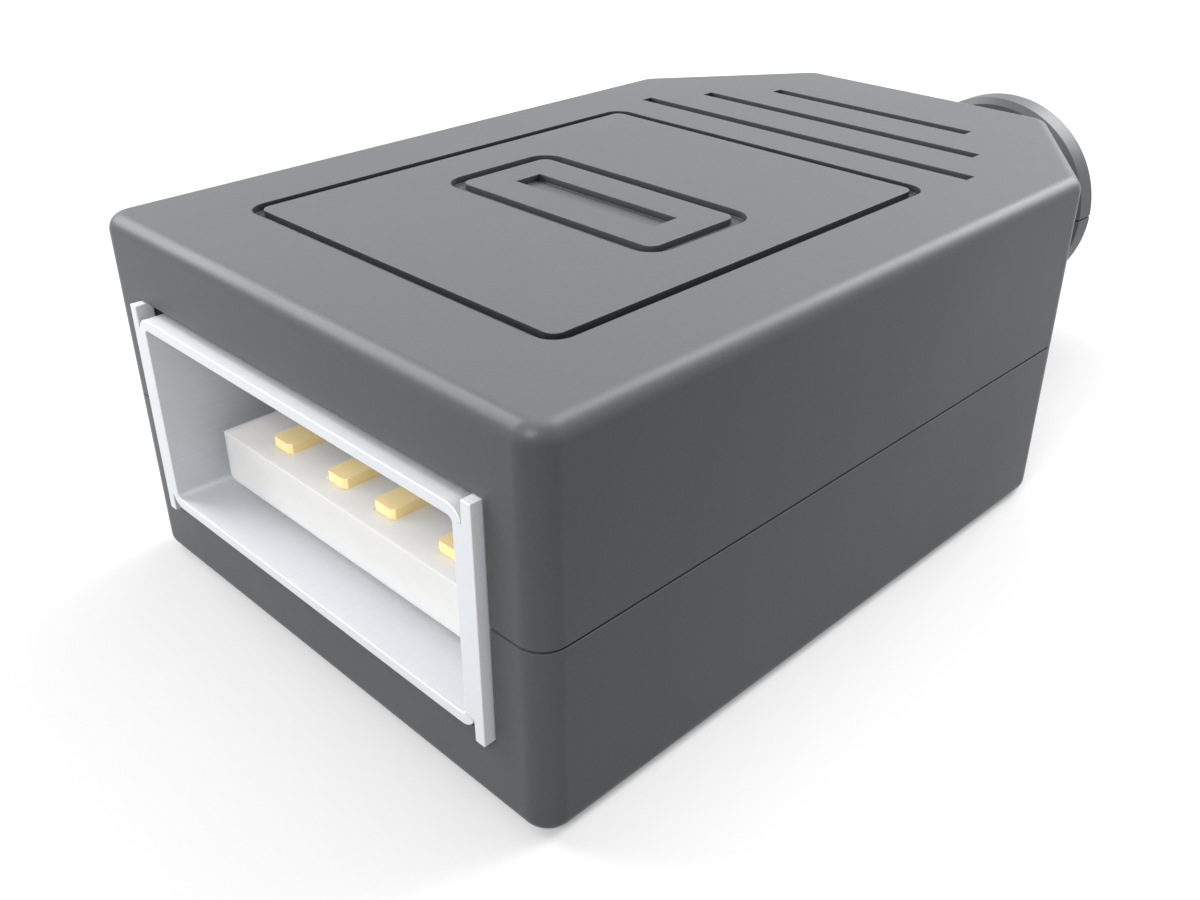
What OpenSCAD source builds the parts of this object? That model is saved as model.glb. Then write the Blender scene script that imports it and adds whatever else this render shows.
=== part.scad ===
// In-line cable socket: a two-half plastic housing around a folded metal socket shell,
// an insulator with a contact tongue, and four contact strips.
// Millimetres. The mouth faces -Y, the cable leaves along +Y, and the housing rests on Z = 0.
// The parts below are drawn with Y = 0 on the housing's front face.

/* [Housing] */
// Width of the housing
housing_w = 16.9; // [16.2:0.1:24]
// Length of the housing, from its front face to its rear face
housing_l = 26; // [24:0.5:40]
// Height of the housing, both halves together
housing_h = 10.3; // [9.4:0.1:16]
// Width of the rear face, between the tapered corners
rear_w = 9.3; // [8.6:0.1:14]
// Length of the tapered rear corners
taper_l = 5.2; // [3:0.1:6]
// Rounding of the upright edges
corner_r = 0.7; // [0.5:0.05:1.1]
// Rounding of the top and bottom edges
edge_r = 0.45; // [0.1:0.05:0.45]
// Depth of the window around the shell in the front face
window_d = 1.3; // [0.6:0.1:2]
// Length of the cable clamp ahead of the rear face
clamp_l = 3.5; // [2:0.1:5]
// Height of the shadow gap where the halves meet
seam_h = 0.06; // [0.03:0.01:0.3]
// Depth of the shadow gap where the halves meet
seam_d = 0.3; // [0.1:0.05:0.5]

/* [Top face] */
// Width of the frame line's outer edge
frame_w = 11.84; // [8:0.1:13]
// Distance from the front face to the frame line
frame_y = 2.8; // [1.5:0.1:5]
// Corner radius of the frame line's outer edge
frame_r = 0.6; // [0.4:0.05:2]
// Width of the frame line
frame_line_w = 0.3; // [0.2:0.05:0.35]
// Depth of everything recessed in the top face
recess_d = 0.2; // [0.1:0.05:0.4]
// Distance between the frame line and the first grip slot
frame_to_grip = 1.45; // [0.8:0.05:3]
// Lengths of the grip slots, from front to back
grip_ls = [12.4, 10.4, 7.5]; // [3:0.1:13]
// Width of a grip slot
grip_w = 0.43; // [0.3:0.01:0.8]
// Distance from slot to slot
grip_pitch = 2; // [1.2:0.1:2.5]
// Distance from the last grip slot to the rear face
grip_rear = 3.48; // [2.5:0.1:6]
// Width of the socket sign in the frame
sign_w = 8; // [4:0.1:9]
// Height of the socket sign
sign_h = 4; // [2.5:0.1:8]
// Corner radius of the socket sign
sign_r = 0.7; // [0.5:0.05:1.2]
// Line width of the socket sign
sign_line_w = 0.4; // [0.2:0.05:0.45]
// Width of the bar in the socket sign
sign_bar_w = 5.2; // [2:0.1:7]
// Thickness of the bar in the socket sign
sign_bar_t = 0.9; // [0.4:0.1:1.4]

/* [Neck and collar] */
// Radius of the cable's bore
cable_r = 2.2; // [1.5:0.05:2.4]
// Outer radius of the neck
neck_r = 3; // [2.9:0.05:3.5]
// Length of the neck, from the rear face to the collar
neck_l = 5.5; // [2:0.1:10]
// Outer radius of the collar
collar_r = 3.9; // [3.6:0.05:4.5]
// Thickness of the collar
collar_l = 1.3; // [0.8:0.05:3]
// Chamfer on the collar's edges
collar_chamfer = 0.22; // [0.05:0.01:0.35]

/* [Socket shell] */
// Width of the mouth
mouth_w = 12.5; // [12:0.05:13]
// Height of the mouth
mouth_h = 5.12; // [4.8:0.02:5.6]
// Depth of the mouth, from the shell's front edge to the insulator's block
mouth_depth = 12; // [9:0.1:14]
// Corner radius inside the mouth
mouth_r = 0.15; // [0.05:0.01:0.3]
// Thickness of the shell's sheet
sheet_t = 0.3; // [0.2:0.01:0.35]
// How far the shell stands out of the housing's front face
shell_proud = 0.3; // [0.1:0.05:0.6]
// Height of the ears beside the mouth
ear_h = 6.22; // [5.8:0.02:7]
// Depth of the ears, from the shell's front edge
ear_l = 0.5; // [0.45:0.05:0.9]
// How far the locking tabs stand out of the shell's sides
tab_l = 0.6; // [0.3:0.05:0.7]
// Height of the locking tabs
tab_h = 3; // [1:0.1:3.5]

/* [Insulator] */
// Width of the tongue
tongue_w = 11; // [9.5:0.1:11.4]
// Thickness of the tongue
tongue_t = 1.5; // [1:0.05:1.8]
// Gap between the tongue and the shell's floor
tongue_gap = 0.43; // [0.2:0.01:0.7]
// Distance from the shell's front edge to the tongue's tip
tongue_setback = 1.29; // [0.5:0.01:3]
// Rounding of the tongue's lower long edges
tongue_r = 0.25; // [0.05:0.05:0.5]
// Length of the block that closes the shell
block_l = 2; // [1.6:0.1:4]
// Thickness of the lip behind the shell
lip_t = 0.8; // [0.4:0.1:1.5]

/* [Contacts] */
// Distance between the two inner contacts
inner_pitch = 2; // [1.6:0.1:2.4]
// Distance from an inner contact to the outer contact beside it
outer_pitch = 2.5; // [1.8:0.1:2.8]
// Width of a contact
contact_w = 0.8; // [0.5:0.05:1.1]
// Thickness of a contact
contact_t = 0.3; // [0.2:0.01:0.4]
// How deep the contacts lie in the tongue
contact_sunk = 0.04; // [0.02:0.01:0.15]
// Distance from the tongue's tip to the contacts' front ends
contact_setback = 0.59; // [0.3:0.01:2]
// Chamfer on the corners of a contact's ends
contact_chamfer = 0.1; // [0.02:0.01:0.2]
// Length of the solder tails behind the insulator
tail_l = 3.2; // [2:0.1:5]

/* [Locating pegs] */
// Radius of the pegs
peg_r = 0.45; // [0.3:0.05:0.5]
// Height of the pegs above the parting plane
peg_h = 1.4; // [0.6:0.1:2]
// Chamfer on the tips of the pegs
peg_chamfer = 0.12; // [0.05:0.01:0.2]
// Distance from the front face to the front pegs
peg_y = 3.6; // [2.5:0.1:8]

/* [Fits] */
// Clearance around the shell and the insulator
fit = 0.05; // [0.02:0.01:0.1]
// Clearance around the ears in the front face
ear_fit = 0.03; // [0.01:0.01:0.1]
// Clearance around the contacts in the insulator
contact_fit = 0.02; // [0.01:0.01:0.05]
// Clearance around and above the pegs
peg_fit = 0.05; // [0.02:0.01:0.1]

/* [Wire room] */
// How far the wire room is lower than the shell, which leaves the step that stops the insulator
stop_d = 0.5; // [0.3:0.05:0.7]
// Room beside the outer solder tails
tail_room = 1; // [0.5:0.1:1.2]

/* [Hidden] */

// Smoothness of round stretches
arc_steps = 8;
round_fn = 64;
edge_fn = 32;

// How far a cut runs past the face that it opens, and a joined piece into its carrier
past = 1;

// Half the width, and the height at which the halves meet, which is also the mouth's centre
half_w = housing_w / 2;
mid_z = housing_h / 2;

// Shell
shell_w = mouth_w + 2 * sheet_t;
shell_h = mouth_h + 2 * sheet_t;
shell_r = mouth_r + sheet_t;
side_flat_h = shell_h - 2 * shell_r;
ear_span = shell_w + 2 * sheet_t;
tab_span = shell_w + 2 * tab_l;
shell_l = mouth_depth + block_l;
shell_front_y = -shell_proud;
shell_rear_y = shell_front_y + shell_l;
ear_rear_y = shell_front_y + ear_l;
tab_y = shell_rear_y - block_l / 2 + sheet_t;
window_h = ear_h + 2 * ear_fit;

// Insulator and contacts
tongue_front_y = shell_front_y + tongue_setback;
tongue_top_z = mid_z - mouth_h / 2 + tongue_gap + tongue_t;
block_front_y = shell_front_y + mouth_depth;
lip_rear_y = shell_rear_y + lip_t;
contact_front_y = tongue_front_y + contact_setback;
contact_rear_y = lip_rear_y + tail_l;
contact_z = tongue_top_z - contact_sunk;
inner_x = inner_pitch / 2;
outer_x = inner_x + outer_pitch;

// Housing
pocket_w = shell_w + 2 * fit;
pocket_h = shell_h + 2 * fit;
stop_y = lip_rear_y + fit;
room_w = 2 * (outer_x + contact_w / 2 + tail_room);
room_h = shell_h - 2 * stop_d;
room_rear_y = housing_l - clamp_l;
neck_end_y = housing_l + neck_l;
rear_y = neck_end_y + collar_l;

// Pegs: the front pair stands in the walls beside the shell, and the rear pair beside the wire room
front_peg = [(pocket_w / 2 + half_w - seam_d) / 2, peg_y];
rear_peg = [(room_w / 2 + half_w) / 2, (stop_y + housing_l - taper_l) / 2];

// Top face
last_grip_y = housing_l - grip_rear;
first_grip_y = last_grip_y - (len(grip_ls) - 1) * grip_pitch;
frame_l = first_grip_y - grip_w / 2 - frame_to_grip - frame_y;
frame_mid_y = frame_y + frame_l / 2;

// Origin: the middle of the whole length, on the resting face
frame_shift_y = -(shell_front_y + rear_y) / 2;

function left_and_right(points) =
    concat(points, [for (i = [len(points) - 1:-1:0]) [-points[i].x, points[i].y]]);

// Point where two walls with outward normals n1 and n2 meet, moved inward by a distance
function moved_in(corner, n1, n2, inset) = corner - inset * (n1 + n2) / (1 + n1 * n2);

// Plan outline of the housing with sharp corners, moved inward by a distance
function plan(inset) =
    let (
        side = [1, 0],
        rear = [0, 1],
        taper = [taper_l, half_w - rear_w / 2] / norm([taper_l, half_w - rear_w / 2])
    )
    left_and_right([
        moved_in([half_w, 0], side, -rear, inset),
        moved_in([half_w, housing_l - taper_l], side, taper, inset),
        moved_in([rear_w / 2, housing_l], taper, rear, inset)
    ]);

// Rectangle with round corners, centred on the origin
function round_rect(w, h, r) = [
    for (quarter = [0:3], step = [0:arc_steps])
        let (
            turn = 90 * quarter,
            a = turn + 90 * step / arc_steps,
            sx = sign(cos(turn + 45)),
            sy = sign(sin(turn + 45))
        )
        [sx * (w / 2 - r) + r * cos(a), sy * (h / 2 - r) + r * sin(a)]
];

module in_frame() {
    translate([0, frame_shift_y, 0])
        children();
}

// Extrudes a front-view shape, centred on the mouth, from y1 to y2
module along_y(y1, y2) {
    translate([0, y2, mid_z])
        rotate([90, 0, 0])
            linear_extrude(y2 - y1)
                children();
}

// Box centred on the mouth in X and Z, from y1 to y2
module box_y(w, h, y1, y2) {
    translate([-w / 2, y1, mid_z - h / 2])
        cube([w, y2 - y1, h]);
}

// Cuts a plan shape into the top face
module top_recess() {
    translate([0, 0, housing_h - recess_d])
        linear_extrude(recess_d + past)
            children();
}

// Places children at the four pegs
module at_pegs() {
    for (peg = [front_peg, rear_peg], side = [-1, 1])
        translate([side * peg.x, peg.y, mid_z])
            children();
}

// Disc with a round rim: the form of the housing's corners at its top and bottom edges
module corner_disc() {
    rotate_extrude($fn = round_fn)
        polygon(concat(
            [[0, -edge_r]],
            [
                for (step = [-arc_steps:arc_steps])
                    let (a = 90 * step / arc_steps)
                    [corner_r - edge_r + edge_r * cos(a), edge_r * sin(a)]
            ],
            [[0, edge_r]]
        ));
}

// Outer body of the housing: all upright, top and bottom edges rounded
module housing_block() {
    hull()
        for (corner = plan(corner_r), z = [edge_r, housing_h - edge_r])
            translate([corner.x, corner.y, z])
                corner_disc();
}

// Neck and collar, turned about the cable's axis
module neck_and_collar() {
    rim = collar_r - collar_chamfer;
    translate([0, 0, mid_z])
        rotate([-90, 0, 0])
            rotate_extrude($fn = round_fn)
                polygon([
                    [0, housing_l - past],
                    [neck_r, housing_l - past],
                    [neck_r, neck_end_y],
                    [rim, neck_end_y],
                    [collar_r, neck_end_y + collar_chamfer],
                    [collar_r, rear_y - collar_chamfer],
                    [rim, rear_y],
                    [0, rear_y]
                ]);
}

// Bore that the cable passes and is clamped in
module cable_bore() {
    translate([0, room_rear_y - past, mid_z])
        rotate([-90, 0, 0])
            cylinder(r = cable_r, h = rear_y - room_rear_y + 2 * past, $fn = round_fn);
}

// Space for the shell with its ears and tabs, for the insulator, and for the wires behind it
module socket_space() {
    box_y(ear_span + 2 * ear_fit, window_h, -past, ear_rear_y);
    box_y(pocket_w, window_h, -past, window_d);
    box_y(pocket_w, pocket_h, -past, stop_y);
    box_y(tab_span + 2 * fit, tab_h + 2 * fit, tab_y - fit, tab_y + sheet_t + fit);
    box_y(room_w, room_h, stop_y - past, room_rear_y);
}

// Faces in the parting plane where the halves touch, set back from every outer wall
module seam_land() {
    polygon(plan(seam_d));
    translate([seam_d - neck_r, housing_l / 2])
        square([2 * (neck_r - seam_d), rear_y - seam_d - housing_l / 2]);
    translate([seam_d - collar_r, neck_end_y + seam_d])
        square([2 * (collar_r - seam_d), collar_l - 2 * seam_d]);
}

// Shadow gap around the parting plane
module seam_gap() {
    translate([0, 0, mid_z - seam_h / 2])
        linear_extrude(seam_h)
            difference() {
                translate([-housing_w, -past])
                    square([2 * housing_w, rear_y + 2 * past]);
                seam_land();
            }
}

// Both halves of the housing as one body, hollowed
module whole_housing() {
    difference() {
        union() {
            housing_block();
            neck_and_collar();
        }
        cable_bore();
        socket_space();
        seam_gap();
    }
}

// Everything below or above the parting plane
module half_space(z) {
    translate([-housing_w, -past, z])
        cube([2 * housing_w, rear_y + 2 * past, mid_z]);
}

// Outline of a rectangle with round corners, drawn with a line inside its edge
module round_ring(w, h, r, line_w) {
    difference() {
        polygon(round_rect(w, h, r));
        polygon(round_rect(w - 2 * line_w, h - 2 * line_w, r - line_w));
    }
}

module frame_line() {
    translate([0, frame_mid_y])
        round_ring(frame_w, frame_l, frame_r, frame_line_w);
}

module grip_slots() {
    for (i = [0:len(grip_ls) - 1])
        translate([-grip_ls[i] / 2, first_grip_y + i * grip_pitch - grip_w / 2])
            square([grip_ls[i], grip_w]);
}

// Plain sign of a socket's mouth: an outline with a bar in it
module socket_sign() {
    translate([0, frame_mid_y]) {
        round_ring(sign_w, sign_h, sign_r, sign_line_w);
        square([sign_bar_w, sign_bar_t], center = true);
    }
}

module peg() {
    rotate_extrude($fn = edge_fn)
        polygon([
            [0, -past],
            [peg_r, -past],
            [peg_r, peg_h - peg_chamfer],
            [peg_r - peg_chamfer, peg_h],
            [0, peg_h]
        ]);
}

module upper_housing() {
    color("dimgray")
        in_frame()
            difference() {
                intersection() {
                    whole_housing();
                    half_space(mid_z);
                }
                at_pegs()
                    translate([0, 0, -past])
                        cylinder(r = peg_r + peg_fit, h = past + peg_h + peg_fit, $fn = edge_fn);
                top_recess() {
                    frame_line();
                    grip_slots();
                    socket_sign();
                }
            }
}

module lower_housing() {
    color("dimgray")
        in_frame()
            union() {
                intersection() {
                    whole_housing();
                    half_space(0);
                }
                at_pegs()
                    peg();
            }
}

// One folded sheet: the tube, the ears beside the mouth, and the tabs lanced out of its sides
module socket_shell() {
    tab_hole_l = tab_l + sheet_t;
    color("gainsboro")
        in_frame()
            difference() {
                union() {
                    along_y(shell_front_y, shell_rear_y)
                        polygon(round_rect(shell_w, shell_h, shell_r));
                    for (side = [-1, 1])
                        translate([side * shell_w / 2, 0, 0]) {
                            box_y(2 * sheet_t, side_flat_h, shell_front_y, ear_rear_y);
                            translate([side * sheet_t / 2, 0, 0])
                                box_y(sheet_t, ear_h, shell_front_y, ear_rear_y);
                        }
                    box_y(tab_span, tab_h, tab_y, tab_y + sheet_t);
                }
                along_y(shell_front_y - past, shell_rear_y + past)
                    polygon(round_rect(mouth_w, mouth_h, mouth_r));
                box_y(shell_w + past, tab_h, tab_y - tab_hole_l, tab_y);
            }
}

// Front view of the tongue, with its lower long edges rounded
module tongue_section() {
    half = tongue_w / 2;
    top = tongue_top_z - mid_z;
    low = top - tongue_t;
    polygon(left_and_right(concat(
        [[half, top]],
        [
            for (step = [0:arc_steps])
                let (a = -90 * step / arc_steps)
                [half - tongue_r + tongue_r * cos(a), low + tongue_r + tongue_r * sin(a)]
        ]
    )));
}

// One moulding: the tongue, the block that closes the shell, and the lip behind it
module insulator() {
    color("white")
        in_frame()
            difference() {
                union() {
                    along_y(tongue_front_y, shell_rear_y)
                        tongue_section();
                    along_y(block_front_y, shell_rear_y)
                        polygon(round_rect(mouth_w - 2 * fit, mouth_h - 2 * fit, mouth_r));
                    along_y(shell_rear_y, lip_rear_y)
                        polygon(round_rect(shell_w, shell_h, shell_r));
                }
                for (x = [-outer_x, -inner_x, inner_x, outer_x])
                    translate([x - contact_w / 2 - contact_fit, contact_front_y - contact_fit, contact_z])
                        cube([contact_w + 2 * contact_fit, contact_rear_y, contact_t + contact_fit]);
            }
}

// Flat strip from near the tongue's tip to its solder tail, with chamfered end corners
module contact_strip(x) {
    half = contact_w / 2;
    tip = half - contact_chamfer;
    color("goldenrod")
        in_frame()
            translate([x, 0, contact_z])
                linear_extrude(contact_t)
                    polygon(left_and_right([
                        [tip, contact_front_y],
                        [half, contact_front_y + contact_chamfer],
                        [half, contact_rear_y - contact_chamfer],
                        [tip, contact_rear_y]
                    ]));
}

module outer_left_contact() {
    contact_strip(-outer_x);
}

module inner_left_contact() {
    contact_strip(-inner_x);
}

module inner_right_contact() {
    contact_strip(inner_x);
}

module outer_right_contact() {
    contact_strip(outer_x);
}

upper_housing();
lower_housing();
socket_shell();
insulator();
outer_left_contact();
inner_left_contact();
inner_right_contact();
outer_right_contact();
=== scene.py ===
# %% [markdown]
# # A cable socket in two grey halves
# This small socket sits at the end of a cable. A matt grey plastic housing, moulded in two
# halves, holds a pale metal mouth with a white tongue and four gold contacts in it. The CAD
# frame gives every size and place, but its edges are razor sharp. A real moulding or a folded
# sheet has fine rounded edges, and they are what catches the light, so each solid is modelled
# again here, in the same place, and given a finish.

# %% Load the frame
import math
import bpy
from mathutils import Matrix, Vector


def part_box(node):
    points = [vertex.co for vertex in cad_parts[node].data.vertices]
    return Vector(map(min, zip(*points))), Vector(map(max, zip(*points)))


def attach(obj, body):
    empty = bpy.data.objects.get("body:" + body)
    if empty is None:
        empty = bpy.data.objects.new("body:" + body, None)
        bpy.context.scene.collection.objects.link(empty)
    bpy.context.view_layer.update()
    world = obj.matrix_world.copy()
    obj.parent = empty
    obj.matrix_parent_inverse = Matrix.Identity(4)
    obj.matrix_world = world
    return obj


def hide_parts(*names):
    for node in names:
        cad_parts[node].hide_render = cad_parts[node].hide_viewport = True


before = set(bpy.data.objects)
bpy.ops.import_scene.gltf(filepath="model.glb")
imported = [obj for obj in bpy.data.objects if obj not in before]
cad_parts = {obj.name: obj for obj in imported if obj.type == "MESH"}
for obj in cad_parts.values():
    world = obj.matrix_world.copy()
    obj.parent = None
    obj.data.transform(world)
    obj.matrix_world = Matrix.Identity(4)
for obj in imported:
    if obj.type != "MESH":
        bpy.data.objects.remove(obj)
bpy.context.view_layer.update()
print("CAD nodes:", ", ".join(sorted(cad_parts)))

# %% [markdown]
# ## Working in millimetres
# The part is 33 mm long, and its finest gaps are hundredths of a millimetre. Bevel, inset and
# bisect compare lengths with tolerances that suit models of a few metres, so each piece is drawn
# with one unit to the millimetre and scaled down to metres when it is finished. The main sizes
# are measured on the frame, and the smaller ones are given where a piece first needs them.

# %% Measure the frame
MM = 0.001


def node_box(node):
    """Lowest and highest corner of a CAD node, in millimetres."""
    return [[round(value / MM, 3) for value in corner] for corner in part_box(node)]


housing_low, housing_high = node_box("upper_housing")
shell_low, shell_high = node_box("socket_shell")
insulator_low, insulator_high = node_box("insulator")
half_w = housing_high[0]
front_y = housing_low[1]
end_y = housing_high[1]
mid_z = housing_low[2]
top_z = housing_high[2]
print(f"housing {2 * half_w} mm wide, {end_y - front_y:.2f} mm long, {top_z} mm high")

# %% [markdown]
# ## Helpers that stand in for the mouse
# An operator in edit mode acts on what is selected. By hand one clicks an edge or a face; in a
# script it is found by its place instead. The helpers below make one piece active, open it in
# edit mode and select the edges or faces whose corners pass a test.

# %% Select by place
TINY = 1e-4


def only(piece):
    """Makes a piece the only selected object, and the active one."""
    bpy.ops.object.select_all(action="DESELECT")
    piece.select_set(True)
    bpy.context.view_layer.objects.active = piece


def pick(piece, kind, test):
    """Opens a piece in edit mode with only the edges or faces selected that pass a test."""
    only(piece)
    bpy.ops.object.mode_set(mode="EDIT")
    bpy.ops.mesh.select_mode(type=kind)
    bpy.ops.mesh.select_all(action="DESELECT")
    bpy.ops.object.mode_set(mode="OBJECT")
    spots = [vertex.co for vertex in piece.data.vertices]
    for part in piece.data.edges if kind == "EDGE" else piece.data.polygons:
        part.select = test([spots[i] for i in part.vertices])
    bpy.ops.object.mode_set(mode="EDIT")


def level(points, axis, value):
    """True if all points lie at one value along an axis."""
    return all(abs(point[axis] - value) < TINY for point in points)


def runs_along(ends, axis):
    """True if an edge runs along an axis."""
    return all(abs(ends[0][i] - ends[1][i]) < TINY for i in range(3) if i != axis)


def bevel_edges(piece, test, width, steps):
    """Bevels the edges of a piece that pass a test."""
    pick(piece, "EDGE", test)
    bpy.ops.mesh.bevel(offset=width, segments=steps, affect="EDGES", clamp_overlap=False)
    bpy.ops.object.mode_set(mode="OBJECT")


print("an edge counts as lying in a plane within", TINY, "mm")

# %% [markdown]
# ## The housing's outer form
# The real housing is injection moulded, and its two halves share one outline. The whole outer
# form is made as one block and cut in two later, so the halves line up along the parting line.
# A cube gets its rear corners sliced off, and then its upright edges and its top and bottom edges
# are bevelled. A subdivision surface would round it too, but its faces would bulge, while a
# moulded face with bevelled edges stays flat.

# %% Boxes and straight cuts
def add_box(name, low, high):
    """Adds a cube that reaches from one corner to the other."""
    bpy.ops.object.select_all(action="DESELECT")
    middle = [(a + b) / 2 for a, b in zip(low, high)]
    size = [b - a for a, b in zip(low, high)]
    bpy.ops.mesh.primitive_cube_add(size=1, location=middle, scale=size)
    bpy.ops.object.transform_apply()
    box = bpy.context.active_object
    box.name = name
    return box


def slice_off(piece, point, normal):
    """Cuts a piece along a plane, removes what its unit normal points to, and closes the cut."""
    only(piece)
    bpy.ops.object.mode_set(mode="EDIT")
    bpy.ops.mesh.select_all(action="SELECT")
    bpy.ops.mesh.bisect(
        plane_co=point, plane_no=normal, use_fill=True, clear_outer=True, threshold=TINY)
    bpy.ops.object.mode_set(mode="OBJECT")


housing_l = 26
rear_y = front_y + housing_l
housing = add_box("housing", (-half_w, front_y, 0), (half_w, rear_y, top_z))
print(f"block of {housing_l} mm length")

# %% Taper the rear corners
rear_w = 9.3
taper_l = 5.2
taper_y = rear_y - taper_l
taper_angle = math.atan2(half_w - rear_w / 2, taper_l)
for side in (-1, 1):
    slice_off(
        housing,
        (side * half_w, taper_y, 0),
        (side * math.cos(taper_angle), math.sin(taper_angle), 0))
print(f"rear corners cut at {math.degrees(taper_angle):.1f} degrees to the sides")

# %% [markdown]
# The upright corners have one radius, but they aren't all square. A bevel's width is how far it
# starts from the corner along each wall, and for a radius r in a corner of angle a that is
# r / tan(a / 2). So each kind of corner gets a width of its own and all end up with one radius.

# %% Round the edges of the block
corner_r = 0.7
corner_steps = 12
edge_r = 0.45
edge_steps = 10
corner_angles = {
    front_y: math.pi / 2,
    taper_y: math.pi - taper_angle,
    rear_y: math.pi / 2 + taper_angle,
}
for y, angle in corner_angles.items():
    bevel_edges(
        housing,
        lambda ends: runs_along(ends, 2) and level(ends, 1, y),
        corner_r / math.tan(angle / 2),
        corner_steps)
bevel_edges(
    housing, lambda ends: level(ends, 2, 0) or level(ends, 2, top_z), edge_r, edge_steps)
print("rounded block:", len(housing.data.polygons), "faces")

# %% [markdown]
# ## Neck and collar
# Behind the housing, a short neck carries the collar that ends the part: the cable comes out of
# it. Both are round about the cable's axis, so each starts as a cylinder laid along Y, and the
# collar's two rims are bevelled in one step, which gives a plain chamfer. A Boolean joins them to
# the block. Spinning one profile would make them in one go, but two rods are easier to read.

# %% Rods and Booleans
round_sides = 96
overlap = 1


def add_rod(name, radius, start, end):
    """Adds a cylinder along Y at the height of the parting plane."""
    bpy.ops.object.select_all(action="DESELECT")
    bpy.ops.mesh.primitive_cylinder_add(
        vertices=round_sides, radius=radius, depth=end - start,
        location=(0, (start + end) / 2, mid_z), rotation=(math.pi / 2, 0, 0))
    bpy.ops.object.transform_apply()
    rod = bpy.context.active_object
    rod.name = name
    return rod


def combine(piece, tool, operation):
    """Joins a tool to a piece or cuts the piece with it, and removes the tool."""
    boolean = piece.modifiers.new(tool.name, "BOOLEAN")
    boolean.operation = operation
    boolean.object = tool
    only(piece)
    bpy.ops.object.modifier_apply(modifier=boolean.name)
    bpy.data.objects.remove(tool)


print("round pieces have", round_sides, "sides")

# %% Add the neck and the collar
neck_r = 3
collar_r = 3.9
collar_l = 1.3
collar_chamfer = 0.22
collar_y = end_y - collar_l
neck = add_rod("neck", neck_r, rear_y - overlap, collar_y + collar_l / 2)
combine(housing, neck, "UNION")
collar = add_rod("collar", collar_r, collar_y, end_y)
bevel_edges(collar, lambda ends: abs(ends[0].y - ends[1].y) < TINY, collar_chamfer, steps=1)
combine(housing, collar, "UNION")
print("with neck and collar:", len(housing.data.polygons), "faces")

# %% [markdown]
# ## Room for the socket
# The front face has a window for the metal mouth and its two ears. Behind it, a pocket holds the
# shell, two slots catch its locking tabs, and a lower room leaves space for the wires up to the
# cable's bore. In the mould these are cores; here each is a box that a Boolean takes away.

# %% Sizes around the mouth
mouth_w = 12.5
mouth_h = 5.12
sheet_t = 0.3
ear_l = 0.5
tab_inset = 0.7
tab_half_h = 1.5
shell_w = mouth_w + 2 * sheet_t
shell_h = mouth_h + 2 * sheet_t
ear_y = shell_low[1] + ear_l
ear_half_w = shell_w / 2 + sheet_t
ear_half_h = (shell_high[2] - shell_low[2]) / 2
tab_y = shell_high[1] - tab_inset
print(f"mouth {mouth_w} by {mouth_h} mm, ears {2 * ear_half_h:.2f} mm high")

# %% Hollow the housing
fit = 0.05
ear_fit = 0.03
window_d = 1.3
stop_h = 0.5
room_half_w = 4.9
clamp_l = 3.5
cable_r = 2.2
outside_y = front_y - overlap
stop_y = insulator_high[1] + fit
room_y = rear_y - clamp_l
window_half_h = ear_half_h + ear_fit
pocket_half_w = shell_w / 2 + fit


def add_core(name, half_width, half_height, start, end):
    """Adds a box along Y around the middle of the mouth."""
    return add_box(
        name,
        (-half_width, start, mid_z - half_height),
        (half_width, end, mid_z + half_height))


cores = [
    add_core("ear_window", ear_half_w + ear_fit, window_half_h, outside_y, ear_y),
    add_core("shell_window", pocket_half_w, window_half_h, outside_y, front_y + window_d),
    add_core("shell_pocket", pocket_half_w, shell_h / 2 + fit, outside_y, stop_y),
    add_core(
        "tab_slots", shell_high[0] + fit, tab_half_h + fit, tab_y - fit, tab_y + sheet_t + fit),
    add_core("wire_room", room_half_w, shell_h / 2 - stop_h, stop_y - overlap, room_y),
    add_rod("cable_bore", cable_r, room_y - overlap, end_y + overlap),
]
for core in cores:
    combine(housing, core, "DIFFERENCE")
print("hollowed housing:", len(housing.data.polygons), "faces")

# %% [markdown]
# ## Two halves
# The parting line goes round at half height. Each half is a copy of the whole housing with its own
# mesh, cut a little short of the parting plane, which leaves the fine gap that shows as a line on
# the real part.

# %% Cut the halves
seam_h = 0.06


def copy_of(piece, name):
    """Duplicates a piece together with its mesh."""
    only(piece)
    bpy.ops.object.duplicate()
    copy = bpy.context.active_object
    copy.name = name
    copy.data.name = name
    return copy


upper_half = copy_of(housing, "upper_half")
lower_half = copy_of(housing, "lower_half")
bpy.data.objects.remove(housing)
slice_off(upper_half, (0, 0, mid_z + seam_h / 2), (0, 0, -1))
slice_off(lower_half, (0, 0, mid_z - seam_h / 2), (0, 0, 1))
for half in (upper_half, lower_half):
    print(half.name, "has", len(half.data.polygons), "faces")

# %% [markdown]
# ## The top face
# The upper half's top face carries a thin recessed frame line, three grip slots behind it, and a
# plain sign of a socket's mouth inside the frame. All are cut to one shallow depth. A rounded
# ring is a box with bevelled upright edges, and a smaller one of its kind cut out of it.

# %% Places on the top face
recess_d = 0.2
grip_w = 0.43
grip_pitch = 2
grip_lengths = [12.4, 10.4, 7.5]
last_grip_gap = 3.48
grip_gap = 1.45
frame_gap = 2.8
frame_w = 11.84
first_grip_y = rear_y - last_grip_gap - grip_pitch * (len(grip_lengths) - 1)
frame_front_y = front_y + frame_gap
frame_rear_y = first_grip_y - grip_w / 2 - grip_gap
frame_l = frame_rear_y - frame_front_y
frame_mid_y = (frame_front_y + frame_rear_y) / 2
print(f"frame line {frame_l:.2f} mm long, {recess_d} mm deep")

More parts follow.
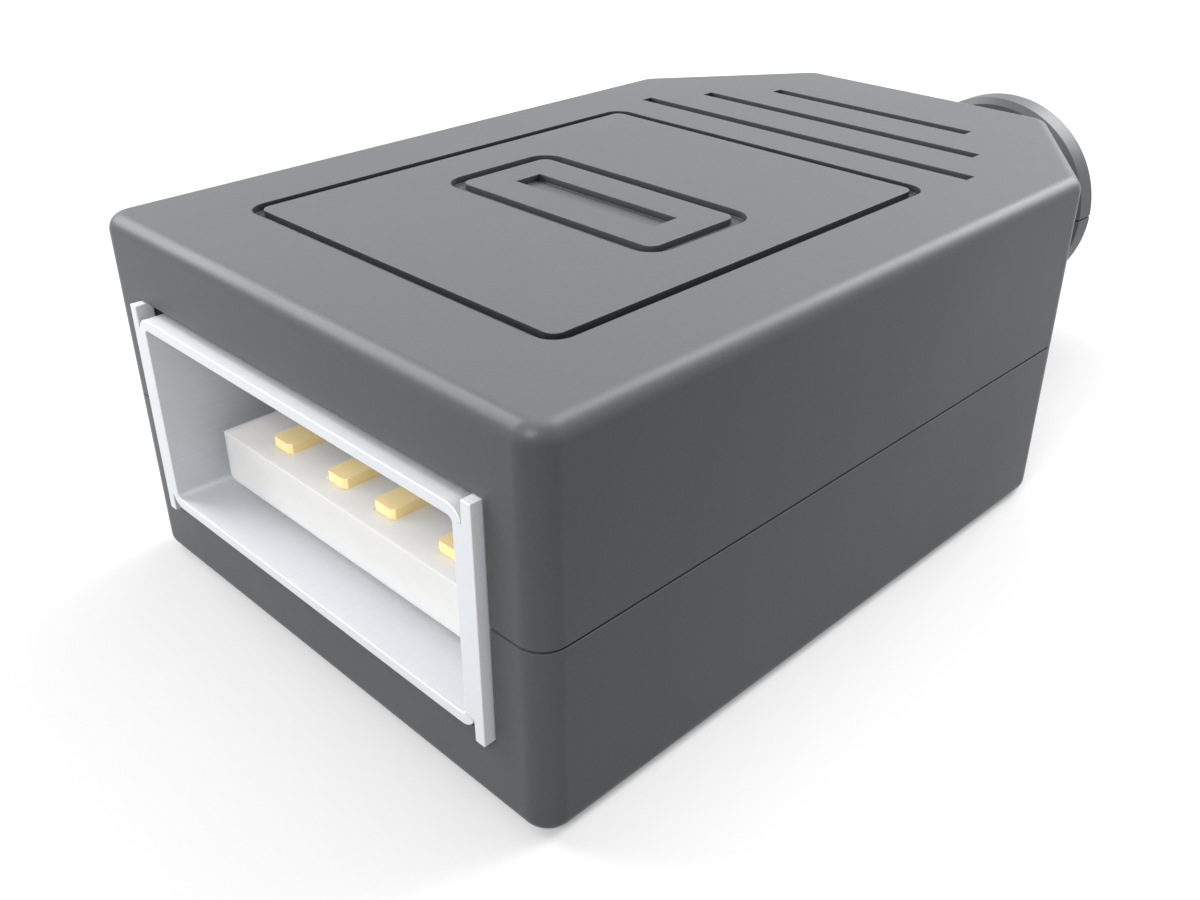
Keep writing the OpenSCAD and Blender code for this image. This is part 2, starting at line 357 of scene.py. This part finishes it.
# %% Plates and rings
def add_plate(name, width, length, radius, depth=recess_d):
    """Adds a rounded plate in the middle of the frame that reaches down into the top face."""
    plate = add_box(
        name,
        (-width / 2, frame_mid_y - length / 2, top_z - depth),
        (width / 2, frame_mid_y + length / 2, top_z + overlap))
    if radius:
        bevel_edges(plate, lambda ends: runs_along(ends, 2), radius, edge_steps)
    return plate


def add_ring(name, width, length, radius, line):
    """Adds a plate with a smaller one taken out of it, which leaves a ring of one line width."""
    ring = add_plate(name, width, length, radius)
    inside = add_plate("inside", width - 2 * line, length - 2 * line, radius - line, 2 * recess_d)
    slice_off(ring, (0, 0, top_z + overlap / 2), (0, 0, 1))
    combine(ring, inside, "DIFFERENCE")
    return ring


frame_line = add_ring("frame_line", width=frame_w, length=frame_l, radius=0.6, line=0.3)
mouth_sign = add_ring("mouth_sign", width=8, length=4, radius=0.7, line=0.4)
tongue_sign = add_plate("tongue_sign", width=5.2, length=0.9, radius=0)
recesses = [frame_line, mouth_sign, tongue_sign]
print("ready to cut:", ", ".join(recess.name for recess in recesses))

# %% Cut the recesses
for i, length in enumerate(grip_lengths):
    y = first_grip_y + i * grip_pitch
    recesses.append(add_box(
        f"grip_slot_{i + 1}",
        (-length / 2, y - grip_w / 2, top_z - recess_d),
        (length / 2, y + grip_w / 2, top_z + overlap)))
for recess in recesses:
    combine(upper_half, recess, "DIFFERENCE")
print("top face cut with", len(recesses), "recesses:", len(upper_half.data.polygons), "faces")

# %% [markdown]
# ## Softened edges
# No moulded or sheared edge is a perfect knife edge. Selecting the sharp edges of a piece and
# bevelling them all at once rounds them by a few hundredths of a millimetre, and leaves the facets
# of round stretches alone. A Bevel modifier with an angle limit does the same, but the operator
# can leave out edges that have no room for it. The parting edges are left out too, because a mould
# closes there and leaves them crisp.

# %% Soften the halves
sharp_angle = math.radians(40)
soft_steps = 2
moulded_edge = 0.015


def soften(piece, width, spared=lambda ends: False):
    """Rounds every sharp edge of a piece, apart from those that are spared."""
    only(piece)
    bpy.ops.object.mode_set(mode="EDIT")
    bpy.ops.mesh.select_mode(type="EDGE")
    bpy.ops.mesh.select_all(action="DESELECT")
    bpy.ops.mesh.edges_select_sharp(sharpness=sharp_angle)
    bpy.ops.object.mode_set(mode="OBJECT")
    spots = [vertex.co for vertex in piece.data.vertices]
    for edge in piece.data.edges:
        if spared([spots[i] for i in edge.vertices]):
            edge.select = False
    bpy.ops.object.mode_set(mode="EDIT")
    bpy.ops.mesh.bevel(
        offset=width, segments=soft_steps, affect="EDGES", clamp_overlap=False, loop_slide=False)
    bpy.ops.object.mode_set(mode="OBJECT")


def at_parting(ends):
    """True for the edges where the two halves face each other."""
    return any(level(ends, 2, mid_z + up * seam_h / 2) for up in (-1, 1))


for half in (upper_half, lower_half):
    soften(half, moulded_edge, at_parting)
    print(half.name, "softened:", len(half.data.polygons), "faces")

# %% [markdown]
# ## Where the halves touch
# Each half has a land set back from its outer wall, where the two really touch, and four pegs on
# the lower half locate it in holes of the upper one. The land is the parting face, inset and
# extruded to the parting plane. One peg is modelled and copied to its four places.

# %% Raise the lands
seam_d = 0.3
for half, up in ((upper_half, -1), (lower_half, 1)):
    pick(half, "FACE", lambda corners: level(corners, 2, mid_z - up * seam_h / 2))
    bpy.ops.mesh.inset(thickness=seam_d)
    bpy.ops.mesh.extrude_region_move(TRANSFORM_OT_translate={"value": (0, 0, up * seam_h / 2)})
    bpy.ops.object.mode_set(mode="OBJECT")
    print(half.name, "with its land:", len(half.data.polygons), "faces")

# %% Pegs and holes
peg_r = 0.45
peg_h = 1.4
peg_fit = 0.05
peg_chamfer = 0.12
peg_sides = 32
front_peg = (7.375, front_y + 3.6)
rear_peg = (6.675, front_y + 17.675)
peg_spots = [(side * x, y) for x, y in (front_peg, rear_peg) for side in (-1, 1)]


def add_peg(name, radius, height):
    """Adds an upright peg through the parting plane, with a chamfered tip."""
    bpy.ops.object.select_all(action="DESELECT")
    bpy.ops.mesh.primitive_cylinder_add(
        vertices=peg_sides, radius=radius, depth=2 * height, location=(0, 0, mid_z))
    bpy.ops.object.transform_apply()
    peg = bpy.context.active_object
    peg.name = name
    bevel_edges(peg, lambda ends: level(ends, 2, mid_z + height), peg_chamfer, steps=1)
    return peg


peg = add_peg("peg", peg_r, peg_h)
hole = add_peg("peg_hole", peg_r + peg_fit, peg_h + peg_fit)
for spot in peg_spots:
    for half, tool, operation in ((lower_half, peg, "UNION"), (upper_half, hole, "DIFFERENCE")):
        copy = copy_of(tool, "peg_copy")
        bpy.ops.transform.translate(value=(*spot, 0))
        bpy.ops.object.transform_apply()
        combine(half, copy, operation)
bpy.data.objects.remove(peg)
bpy.data.objects.remove(hole)
print("pegs at", peg_spots)

# %% [markdown]
# ## The metal mouth
# The mouth is one strip of steel, folded into a rectangular tube and plated. It starts as a box
# without its front and rear faces, the long edges are bevelled into bends, and Solidify gives the
# sheet its thickness inwards. Two ears beside the mouth and two tabs that are lanced out of the
# sides are joined on, and the tabs leave their openings behind.

# %% Fold the shell
bend_r = 0.45
bend_steps = 8
mouth_shell = add_core("mouth_shell", shell_w / 2, shell_h / 2, shell_low[1], shell_high[1])
pick(
    mouth_shell, "FACE",
    lambda corners: level(corners, 1, shell_low[1]) or level(corners, 1, shell_high[1]))
bpy.ops.mesh.delete(type="FACE")
bpy.ops.object.mode_set(mode="OBJECT")
bevel_edges(mouth_shell, lambda ends: runs_along(ends, 1), bend_r, bend_steps)
wall = mouth_shell.modifiers.new("sheet", "SOLIDIFY")
wall.thickness = sheet_t
wall.use_even_offset = True
only(mouth_shell)
bpy.ops.object.modifier_apply(modifier=wall.name)
print("tube of", sheet_t, "mm sheet:", len(mouth_shell.data.polygons), "faces")

# %% Ears and tabs
for side in (-1, 1):
    near, far = sorted((side * shell_w / 2, side * ear_half_w))
    ear = add_box(
        "ear", (near, shell_low[1], mid_z - ear_half_h), (far, ear_y, mid_z + ear_half_h))
    combine(mouth_shell, ear, "UNION")
    near, far = sorted((side * (shell_w / 2 - sheet_t / 2), side * shell_high[0]))
    tab = add_box(
        "tab", (near, tab_y, mid_z - tab_half_h), (far, tab_y + sheet_t, mid_z + tab_half_h))
    combine(mouth_shell, tab, "UNION")
lance_l = shell_high[0] - shell_w / 2 + sheet_t
lance = add_core("lance", half_w, tab_half_h, tab_y - lance_l, tab_y)
combine(mouth_shell, lance, "DIFFERENCE")
print("shell with ears and tabs:", len(mouth_shell.data.polygons), "faces")

# %% Soften the shell
sheared_edge = 0.025
notch_w = 0.06
notch_h = 0.12
flat_half_h = shell_h / 2 - bend_r


def at_notch(ends):
    """True for the edges at the foot of the narrow notch between an ear and a bend."""
    return any(
        abs(abs(end.x) - shell_w / 2) < notch_w
        and abs(abs(end.z - mid_z) - flat_half_h) < notch_h
        for end in ends)


soften(mouth_shell, sheared_edge, at_notch)
print("softened shell:", len(mouth_shell.data.polygons), "faces")

# %% [markdown]
# ## The white tongue
# One white moulding closes the tube from behind and carries the contacts on a tongue. It starts
# from its rear lip: the lip's front face is inset by the thickness of the sheet and extruded
# forward into the block that fills the tube. The tongue is a flat bar with rounded lower edges,
# and four channels for the contacts are cut along its top.

# %% Mould the insulator
block_l = 2
lip_y = shell_high[1]
insulator = add_core("white_tongue", shell_w / 2, shell_h / 2, lip_y, insulator_high[1])
bevel_edges(insulator, lambda ends: runs_along(ends, 1), bend_r, bend_steps)
pick(insulator, "FACE", lambda corners: level(corners, 1, lip_y))
bpy.ops.mesh.inset(thickness=sheet_t + fit)
bpy.ops.mesh.extrude_region_move(TRANSFORM_OT_translate={"value": (0, -block_l, 0)})
bpy.ops.object.mode_set(mode="OBJECT")
print("lip and block:", len(insulator.data.polygons), "faces")

# %% Add the tongue
tongue_half_w = 5.5
tongue_t = 1.5
tongue_gap = 0.43
tongue_edge_r = 0.25
tongue_steps = 6
tongue_low_z = mid_z - mouth_h / 2 + tongue_gap
tongue = add_box(
    "tongue",
    (-tongue_half_w, insulator_low[1], tongue_low_z),
    (tongue_half_w, lip_y - overlap, tongue_low_z + tongue_t))
bevel_edges(
    tongue,
    lambda ends: runs_along(ends, 1) and level(ends, 2, tongue_low_z),
    tongue_edge_r,
    tongue_steps)
combine(insulator, tongue, "UNION")
print("insulator:", len(insulator.data.polygons), "faces")

# %% Contact channels
contact_fit = 0.02
tongue_edge = 0.02
contact_names = ("outer_left", "inner_left", "inner_right", "outer_right")
contact_boxes = {name: node_box(f"{name}_contact") for name in contact_names}
for name, (low, high) in contact_boxes.items():
    channel = add_box(
        f"{name}_channel",
        (low[0] - contact_fit, low[1] - contact_fit, low[2]),
        (high[0] + contact_fit, high[1], high[2] + contact_fit))
    combine(insulator, channel, "DIFFERENCE")
soften(insulator, tongue_edge)
print("insulator with", len(contact_boxes), "channels:", len(insulator.data.polygons), "faces")

# %% [markdown]
# ## Four gold contacts
# The contacts are four equal strips that are stamped from copper alloy and gold plated. One is
# made from a box with its end corners clipped, and the others are copies of it, each with its own
# mesh, moved to their places in the row.

# %% Stamp one contact and copy it
tip_clip = 0.1
stamped_edge = 0.015
first_name = contact_names[0]
first_box = contact_boxes[first_name]
first_contact = add_box(f"{first_name}_strip", *first_box)
bevel_edges(first_contact, lambda ends: runs_along(ends, 2), tip_clip, steps=1)
soften(first_contact, stamped_edge)
contacts = {first_name: first_contact}
for name in contact_names[1:]:
    contacts[name] = copy_of(first_contact, f"{name}_strip")
    bpy.ops.transform.translate(value=(contact_boxes[name][0][0] - first_box[0][0], 0, 0))
    bpy.ops.object.transform_apply()
print("contacts:", ", ".join(contacts))

# %% [markdown]
# ## Into the frame
# Every piece now shrinks from millimetres to metres, which is the frame's unit, is checked for
# stray double points, and takes the place of its CAD node. Weighted normals keep the large faces
# flat in the light, and leave the rounding to the narrow faces along the edges. The mesh keeps the
# place, and the object stays at the origin, unturned and unscaled.

# %% Fit the pieces to the frame
smooth_angle = math.radians(50)
pieces = {
    "upper_housing": (upper_half, "housing_plastic"),
    "lower_housing": (lower_half, "housing_plastic"),
    "socket_shell": (mouth_shell, "plated_sheet"),
    "insulator": (insulator, "insulator_plastic"),
}
for name, contact in contacts.items():
    pieces[f"{name}_contact"] = (contact, "contact_plating")
for node, (piece, slot) in pieces.items():
    only(piece)
    bpy.ops.object.mode_set(mode="EDIT")
    bpy.ops.mesh.select_all(action="SELECT")
    bpy.ops.mesh.remove_doubles(threshold=TINY)
    bpy.ops.mesh.normals_make_consistent(inside=False)
    bpy.ops.object.mode_set(mode="OBJECT")
    bpy.ops.object.shade_smooth_by_angle(angle=smooth_angle)
    weighting = piece.modifiers.new("flat faces first", "WEIGHTED_NORMAL")
    weighting.keep_sharp = True
    bpy.ops.object.modifier_apply(modifier=weighting.name)
    piece.scale = (MM, MM, MM)
    bpy.ops.object.transform_apply()
    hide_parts(node)
    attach(piece, "root")
    print(piece.name, "stands for", node, "with", len(piece.data.polygons), "faces")

# %% [markdown]
# ## Finishes
# Each material is a small node tree. Colours are written as sRGB hex values, as a paint program
# shows them, and turned to the linear values that Blender calculates with. Patterns are sized in
# millimetres: a noise with a scale of one per feature size has features of about that size.

# %% Material helpers
def linear(text):
    """Linear colour of an sRGB hex value."""
    parts = [int(text[i:i + 2], 16) / 255 for i in (1, 3, 5)]
    return [*(((part + 0.055) / 1.055) ** 2.4 for part in parts), 1]


def add_node(tree, kind, links=None, **settings):
    """Adds a node, gives it its settings, and sets or links its inputs."""
    node = tree.nodes.new(kind)
    for name, value in settings.items():
        setattr(node, name, value)
    for name, value in (links or {}).items():
        if isinstance(value, bpy.types.NodeSocket):
            tree.links.new(value, node.inputs[name])
        else:
            node.inputs[name].default_value = value
    return node


def start_material(name):
    """A material with an empty node tree, and its texture coordinates."""
    material = bpy.data.materials.new(name)
    material.use_nodes = True
    material.node_tree.nodes.clear()
    spots = add_node(material.node_tree, "ShaderNodeTexCoord").outputs["Object"]
    return material, material.node_tree, spots


def per_mm(size):
    """Texture scale that gives features of a size in millimetres."""
    return 1 / (size * MM)


print("mid grey #808080 is", round(linear("#808080")[0], 3), "in linear light")

# %% [markdown]
# The four finishes of the part are built alike. A noise, plain or drawn out into streaks, varies
# the roughness between two values and raises a very low bump, and one shader takes up both.

# %% Steps that the finishes share
# A Mix node has inputs of the same name for numbers, vectors and colours, so its colour sockets are
# found by their number.
noise_low = 0.3
noise_high = 0.7
first_colour = 6
second_colour = 7
mixed_colour = 2


def add_streaks(tree, spots, width, length):
    """Adds a noise of streaks along Y, with their width and length in millimetres."""
    place = add_node(
        tree, "ShaderNodeMapping",
        {"Vector": spots, "Scale": (per_mm(width), per_mm(length), per_mm(width))})
    return add_node(
        tree, "ShaderNodeTexNoise", {"Vector": place.outputs["Vector"], "Scale": 1, "Detail": 2})


def vary(tree, noise, low, high):
    """Turns the usual range of a noise into values between two others."""
    return add_node(
        tree, "ShaderNodeMapRange",
        {"Value": noise.outputs["Fac"], "From Min": noise_low, "From Max": noise_high,
         "To Min": low, "To Max": high}).outputs["Result"]


def emboss(tree, noise, strength, height):
    """Adds a bump that follows a noise, with its height in millimetres."""
    return add_node(
        tree, "ShaderNodeBump",
        {"Height": noise.outputs["Fac"], "Strength": strength, "Distance": height * MM}
    ).outputs["Normal"]


def mix_colours(tree, share, first, second):
    """Adds a mix of two colours, with the share of the second."""
    mix = add_node(
        tree, "ShaderNodeMix",
        {"Factor": share, first_colour: first, second_colour: second},
        data_type="RGBA")
    return mix.outputs[mixed_colour]


def coat(coated, material, finish):
    """Ends a material with a shader of some finish, and gives it to the coated pieces."""
    tree = material.node_tree
    shader = add_node(tree, "ShaderNodeBsdfPrincipled", finish)
    add_node(tree, "ShaderNodeOutputMaterial", {"Surface": shader.outputs["BSDF"]})
    for piece in coated:
        piece.data.materials.clear()
        piece.data.materials.append(material)
    print(material.name, "on", ", ".join(piece.name for piece in coated))


print("noise from", noise_low, "to", noise_high, "drives the finishes")

# %% [markdown]
# ### Moulded ABS
# The housing is ABS, a tough plastic that is moulded in a tool with a fine spark-eroded texture.
# The grain scatters the light, so the faces look matt, with a soft sheen at flat angles. It is
# a fine noise in tone and bump, and a wide faint one varies the roughness where handling has
# polished the plastic. Painted shade turns the recesses and the parting line almost black.
# An Ambient Occlusion node finds them: it measures how much of a spot's sky the piece itself hides.

# %% Grain and painted shade of the grey plastic
# ABS from a spark-eroded mould: an even matt grey with a fine grain, a soft broad sheen and painted
# shade in the recesses. Real grain is about 0.04 mm wide; it is drawn twice as coarse, so that it
# shows.
grain_size = 0.09
handling_size = 5
painted_shade_reach = 0.35
grey_abs, tree, spots = start_material("moulded_grey_abs")
grain = add_node(
    tree, "ShaderNodeTexNoise",
    {"Vector": spots, "Scale": per_mm(grain_size), "Detail": 2, "Roughness": 0.6})
handling = add_node(
    tree, "ShaderNodeTexNoise",
    {"Vector": spots, "Scale": per_mm(handling_size), "Detail": 3, "Roughness": 0.5})
tone = mix_colours(tree, grain.outputs["Fac"], linear("#4f5154"), linear("#545658"))
open_sky = add_node(
    tree, "ShaderNodeAmbientOcclusion", {"Distance": painted_shade_reach * MM}, samples=12, only_local=True)
# Painted shade: where the piece hides much of a spot's sky, its grey is mixed towards near black.
painted_shade = add_node(
    tree, "ShaderNodeMapRange",
    {"Value": open_sky.outputs["AO"], "From Min": 0.45, "From Max": 0.9,
     "To Min": 0.95, "To Max": 0})
tone_with_painted_shade = mix_colours(tree, painted_shade.outputs["Result"], tone, linear("#1b1c1d"))
# The print gives how far from a wall the painted shade reaches.
print(f"grain of {grain_size} mm, dirt within {painted_shade_reach} mm of a wall")

# %% Sheen of the grey plastic
grain_height = 0.006
coat((upper_half, lower_half), grey_abs, {
    "Base Color": tone_with_painted_shade,
    "Roughness": vary(tree, handling, low=0.39, high=0.45),
    "IOR": 1.54,
    "Specular IOR Level": 0.25,
    "Normal": emboss(tree, grain, strength=0.35, height=grain_height),
})

# %% [markdown]
# ### Nickel-plated steel
# The shell is cold-rolled steel strip with a matt nickel plating, which takes solder well. It
# spreads the light so widely that it shows no clear reflections. Rolling leaves faint lines along
# the strip. They are a noise that is long along Y and narrow across it, and it drives the
# roughness and a very low bump.

# %% Matt plating
# Nickel on rolled strip: pale and matt, with fine lines along the rolling direction. Real lines
# are a few thousandths of a millimetre wide; they are drawn coarser, so that they show.
line_w = 0.05
line_l = 2
line_height = 0.001
nickel, tree, spots = start_material("nickel_plated_steel")
lines = add_streaks(tree, spots, line_w, line_l)
coat([mouth_shell], nickel, {
    "Base Color": linear("#d1d3d6"),
    "Metallic": 1,
    "Roughness": vary(tree, lines, low=0.68, high=0.76),
    "Normal": emboss(tree, lines, strength=0.1, height=line_height),
})

# %% [markdown]
# ### White PBT
# The insulator is PBT, a white plastic that stands the heat of soldering. Its mould is smoother
# than the housing's, so it has a satin gloss and only a faint unevenness. Light goes a little way
# into it and comes out beside where it went in. Subsurface scattering does that here, and it makes
# the shading soft, where a plain white surface would look like chalk.

# %% White plastic
# PBT from a polished mould: clean white with soft shading, a satin gloss and a hint of unevenness
# from the flow in the mould.
flow_size = 0.6
scatter_depth = 0.6
flow_height = 0.004
white_pbt, tree, spots = start_material("moulded_white_pbt")
flow = add_node(
    tree, "ShaderNodeTexNoise",
    {"Vector": spots, "Scale": per_mm(flow_size), "Detail": 3})
coat([insulator], white_pbt, {
    "Base Color": mix_colours(tree, flow.outputs["Fac"], linear("#efeeeb"), linear("#f5f4f2")),
    "Roughness": vary(tree, flow, low=0.34, high=0.42),
    "IOR": 1.55,
    "Subsurface Weight": 1,
    "Subsurface Radius": (1, 1, 1),
    "Subsurface Scale": scatter_depth * MM,
    "Normal": emboss(tree, flow, strength=0.15, height=flow_height),
})

# %% [markdown]
# ### Gold plating
# A thin layer of gold keeps the contacts from tarnishing. It copies the surface of the stamped
# strip below it, which is matt, so it spreads the light widely. Plugging leaves short marks along
# the strip.

# %% Matt gold
# Gold on stamped strip: pale warm yellow that spreads the light, with short wear marks along it.
# Real marks are a few hundredths of a millimetre wide; they are drawn coarser, so that they show.
mark_w = 0.06
mark_l = 1.5
mark_height = 0.002
gold, tree, spots = start_material("gold_plated_contact")
marks = add_streaks(tree, spots, mark_w, mark_l)
coat(contacts.values(), gold, {
    "Base Color": linear("#fbecc0"),
    "Metallic": 1,
    "Roughness": vary(tree, marks, low=0.8, high=0.9),
    "Normal": emboss(tree, marks, strength=0.2, height=mark_height),
})

# %% [markdown]
# ## Floor and world
# The part lies on a plain pale floor in front of a white backdrop. The camera and all mirror-like
# rays see floor and world white. The light that bounces on to the part is dimmer, so its lower
# sides stay dark, as they do on a table in a large room. A ray that a matt surface has scattered
# counts as such light even if it meets metal next, or the metal would throw a glow on the plastic
# beside it. The floor glows a little, which keeps the shadow on it light.

# %% Pale floor
floor_r = 0.1
floor_gap = 0.02 * MM
floor_glow = 0.28


def sees_white(tree):
    """Adds the test for rays that see the white backdrop: camera, glossy and transmission rays
    that no matt surface has scattered before."""
    path = add_node(tree, "ShaderNodeLightPath")
    mirrored = add_node(
        tree, "ShaderNodeMath",
        {0: path.outputs["Is Camera Ray"], 1: path.outputs["Is Glossy Ray"]},
        operation="MAXIMUM")
    seen = add_node(
        tree, "ShaderNodeMath",
        {0: mirrored.outputs[0], 1: path.outputs["Is Transmission Ray"]},
        operation="MAXIMUM")
    unscattered = add_node(
        tree, "ShaderNodeMath", {0: path.outputs["Diffuse Depth"], 1: 1}, operation="LESS_THAN")
    return add_node(
        tree, "ShaderNodeMath",
        {0: seen.outputs[0], 1: unscattered.outputs[0]},
        operation="MULTIPLY").outputs[0]


bpy.ops.object.select_all(action="DESELECT")
bpy.ops.mesh.primitive_circle_add(
    vertices=round_sides, radius=floor_r, fill_type="NGON", location=(0, 0, -floor_gap))
bpy.ops.object.transform_apply()
floor = bpy.context.active_object
floor.name = "floor"
paper, tree, _ = start_material("pale_paper")
dim = add_node(tree, "ShaderNodeBsdfDiffuse", {"Color": linear("#4c4c4c")})
lit = add_node(tree, "ShaderNodeBsdfDiffuse", {"Color": linear("#b5b5b5")})
glow = add_node(tree, "ShaderNodeEmission", {"Strength": floor_glow})
bright = add_node(
    tree, "ShaderNodeAddShader", {0: lit.outputs["BSDF"], 1: glow.outputs["Emission"]})
mixed = add_node(
    tree, "ShaderNodeMixShader",
    {0: sees_white(tree), 1: dim.outputs["BSDF"], 2: bright.outputs["Shader"]})
add_node(tree, "ShaderNodeOutputMaterial", {"Surface": mixed.outputs["Shader"]})
floor.data.materials.append(paper)
print("floor radius", round(floor.dimensions.x / 2, 3), "m")

# %% White world
world_fill = 0.1
white = linear("#ffffff")
world = bpy.data.worlds.new("studio")
bpy.context.scene.world = world
world.use_nodes = True
tree = world.node_tree
tree.nodes.clear()
dim = add_node(tree, "ShaderNodeBackground", {"Color": white, "Strength": world_fill})
bright = add_node(tree, "ShaderNodeBackground", {"Color": white, "Strength": 1})
mixed = add_node(
    tree, "ShaderNodeMixShader",
    {0: sees_white(tree), 1: dim.outputs["Background"], 2: bright.outputs["Background"]})
add_node(tree, "ShaderNodeOutputWorld", {"Surface": mixed.outputs["Shader"]})
print("world lights the part at", world_fill)

# %% [markdown]
# ## Studio light
# Four soft boxes light the part. The one in front shines down into the mouth, and the one overhead
# lifts the top face. The rounded top edges mirror the other two to the camera: the long box on the
# left, rolled on its side, draws a soft band along the front edge, and the tall one behind the part
# draws one along the right edge. Each box is described by how bright its surface is, and its power
# follows from its area.

# %% Soft boxes
power_per_area = 4


def add_softbox(name, place, width, height, brightness, roll=0):
    """Adds an area light that faces the part, rolled about its aim by some degrees."""
    bpy.ops.object.select_all(action="DESELECT")
    bpy.ops.object.light_add(type="AREA", location=place)
    box = bpy.context.active_object
    box.name = name
    box.data.shape = "RECTANGLE"
    box.data.size = width
    box.data.size_y = height
    box.data.energy = power_per_area * brightness * width * height
    aim = -box.location
    box.rotation_euler = aim.to_track_quat("-Z", "Y").to_euler()
    box.rotation_euler.rotate_axis("Z", math.radians(roll))
    return box


lamps = [
    add_softbox("overhead", (0, 0.16, 0.38), width=0.4, height=0.4, brightness=1.9),
    add_softbox("front", (0.12, -0.33, 0.33), width=0.2, height=0.2, brightness=11.4),
    add_softbox("left", (-0.4, -0.13, 0.3), width=0.36, height=0.2, brightness=8.7, roll=-42),
    add_softbox("rear", (0.05, 0.4, 0.31), width=0.26, height=0.4, brightness=6),
]
print("lamps of", ", ".join(f"{lamp.data.energy:.2f}" for lamp in lamps), "W")

# %% [markdown]
# ## Camera
# The camera looks at the part from the front right and above, from close by, so its edges
# converge noticeably. Its place and lens are set once, in millimetres, for an image of 1200 by
# 900 pixels.

# %% Camera
camera_place = (22.70, -28.87, 20.98)
camera_tilt = math.radians(60)
camera_turn = math.radians(45)
focal_px = 1235.7
image_w = 1200
camera_data = bpy.data.cameras.new("camera")
camera = bpy.data.objects.new("camera", camera_data)
bpy.context.scene.collection.objects.link(camera)
camera.location = [value * MM for value in camera_place]
camera.rotation_euler = (camera_tilt, 0, camera_turn)
camera_data.lens = camera_data.sensor_width * focal_px / image_w
camera_data.clip_start = MM
bpy.context.scene.camera = camera
bpy.context.scene.view_settings.view_transform = "Standard"
print(f"lens {camera_data.lens:.1f} mm on a sensor {camera_data.sensor_width:.0f} mm wide")
